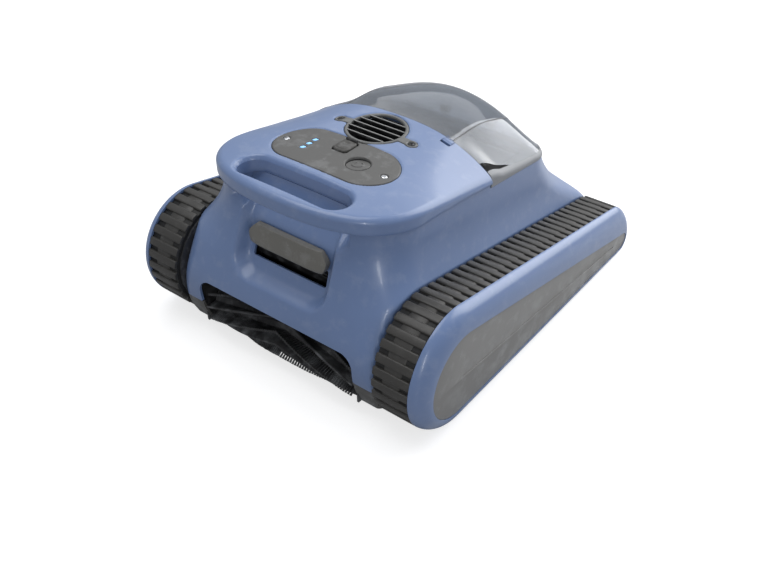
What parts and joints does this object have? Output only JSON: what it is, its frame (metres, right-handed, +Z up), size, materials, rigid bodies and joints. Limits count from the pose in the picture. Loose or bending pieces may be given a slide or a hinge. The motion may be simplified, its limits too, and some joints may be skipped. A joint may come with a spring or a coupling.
{
  "type": "cordless robotic pool cleaner",
  "caption": "Cordless robotic pool cleaner: blue body between ribbed rubber tracks, carrying handle, smoked rear lid over the filter basket, front brush.",
  "frame": {"origin": "middle of the bounding box in plan, on the floor under the tracks", "axes": "+Y towards the low tail of the tracks, away from the carrying handle; +X to the side of the brush gears; +Z up"},
  "size_m": [0.34, 0.3998, 0.1954],
  "materials": {
    "blue_plastic": "satin-gloss slate blue",
    "grey_plastic": "fine matte warm grey",
    "dark_plastic": "matte charcoal",
    "black_plastic": "matte black",
    "soft_rubber": "soft black rubber",
    "tyre_rubber": "ribbed track rubber",
    "steel": "stainless",
    "led_lens": "clear blue lens",
    "screen_mesh": "fine woven screen",
    "smoked_clear": "smoked transparent plastic",
    "board_green": "coated board and wrapped cells"
  },
  "bodies": {
    "base": {"basket_screen": "screen_mesh", "battery_pack": "board_green", "bay_liner": "dark_plastic", "body_shell": "blue_plastic", "brush_bush_left": "steel", "brush_bush_right": "steel", "charge_socket": "black_plastic", "chassis_tray": "grey_plastic", "control_board": "board_green", "control_panel": "grey_plastic", "deck_cover": "blue_plastic", "filter_basket": "dark_plastic", "front_vent": "black_plastic", "gear_motor_left": "steel", "gear_motor_right": "steel", "grille_screw_left": "steel", "grille_screw_right": "steel", "hinge_pin_left": "steel", "hinge_pin_right": "steel", "housing_lid": "dark_plastic", "idler_axle_left": "steel", "idler_axle_right": "steel", "impeller_shroud": "black_plastic", "jet_visor": "grey_plastic", "outlet_grille": "black_plastic", "panel_screw_left": "steel", "panel_screw_right": "steel", "pump_motor": "steel", "roller_axle_left": "steel", "roller_axle_right": "steel", "sealed_housing": "dark_plastic", "side_cover_left": "blue_plastic", "side_cover_right": "blue_plastic", "side_inlay_left": "grey_plastic", "side_inlay_right": "grey_plastic", "status_light_1": "led_lens", "status_light_2": "led_lens", "status_light_3": "led_lens", "track_belt_left": "tyre_rubber", "track_belt_right": "tyre_rubber", "track_frame_left": "dark_plastic", "track_frame_right": "dark_plastic"},
    "drive_right": {"drive_wheel_right": "dark_plastic", "drive_shaft_right": "steel"},
    "drive_left": {"drive_wheel_left": "dark_plastic", "drive_shaft_left": "steel"},
    "idler_right": {"idler_wheel_right": "dark_plastic", "transfer_gear": "black_plastic"},
    "idler_left": {"idler_wheel_left": "dark_plastic"},
    "roller_right": {"support_roller_right": "dark_plastic"},
    "roller_left": {"support_roller_left": "dark_plastic"},
    "brush": {"brush_core": "dark_plastic", "brush_sleeve": "soft_rubber", "brush_gear": "black_plastic"},
    "rotor": {"impeller": "dark_plastic"},
    "lid": {"canopy_lid": "smoked_clear"},
    "latch": {"lid_latch": "dark_plastic"},
    "port_cap": {"charge_cap": "soft_rubber"},
    "button": {"power_button": "grey_plastic"},
    "flap": {"intake_flap": "black_plastic"}
  },
  "joints": [
    {"name": "brush_spin", "type": "hinge", "parent": "base", "child": "brush", "pos_m": [0, -0.1633, 0.03342], "axis": [1, 0, 0], "continuous": true},
    {"name": "right_idler_spin", "type": "hinge", "parent": "base", "child": "idler_right", "pos_m": [0.137, -0.14, 0.06], "axis": [1, 0, 0], "continuous": true},
    {"name": "right_drive_spin", "type": "hinge", "parent": "base", "child": "drive_right", "pos_m": [0.137, 0.171, 0.029], "axis": [1, 0, 0], "continuous": true},
    {"name": "right_roller_spin", "type": "hinge", "parent": "base", "child": "roller_right", "pos_m": [0.137, 0.02, 0.0208], "axis": [1, 0, 0], "continuous": true},
    {"name": "left_idler_spin", "type": "hinge", "parent": "base", "child": "idler_left", "pos_m": [-0.137, -0.14, 0.06], "axis": [1, 0, 0], "continuous": true},
    {"name": "left_drive_spin", "type": "hinge", "parent": "base", "child": "drive_left", "pos_m": [-0.137, 0.171, 0.029], "axis": [1, 0, 0], "continuous": true},
    {"name": "left_roller_spin", "type": "hinge", "parent": "base", "child": "roller_left", "pos_m": [-0.137, 0.02, 0.0208], "axis": [1, 0, 0], "continuous": true},
    {"name": "impeller_spin", "type": "hinge", "parent": "base", "child": "rotor", "pos_m": [0, -0.037, 0.154], "axis": [0, 0, 1], "continuous": true},
    {"name": "lid_hinge", "type": "hinge", "parent": "base", "child": "lid", "pos_m": [0, 0.12523, 0.13949], "axis": [-1, 0, 0], "range_deg": [0, 75]},
    {"name": "latch_slide", "type": "slide", "parent": "base", "child": "latch", "axis": [0, -1, 0], "range_m": [0, 0.003], "stiffness_N_per_m": 150},
    {"name": "charge_cap_hinge", "type": "hinge", "parent": "base", "child": "port_cap", "pos_m": [-0.001, -0.0715, 0.19381], "axis": [-1, 0, 0], "range_deg": [0, 110]},
    {"name": "power_press", "type": "slide", "parent": "base", "child": "button", "axis": [0, 0, -1], "range_m": [0, 0.0015], "stiffness_N_per_m": 300},
    {"name": "flap_swing", "type": "hinge", "parent": "base", "child": "flap", "pos_m": [0, 0.047, 0.0507], "axis": [-1, 0, 0], "range_deg": [0, 60]}
  ],
  "couplings": [
    {"joint": "right_idler_spin", "follows": "brush_spin", "ratio": -0.52174},
    {"joint": "right_drive_spin", "follows": "brush_spin", "ratio": -1.2503},
    {"joint": "right_roller_spin", "follows": "brush_spin", "ratio": -1.9826},
    {"joint": "left_drive_spin", "follows": "left_idler_spin", "ratio": 2.3964},
    {"joint": "left_roller_spin", "follows": "left_idler_spin", "ratio": 3.8}
  ]
}
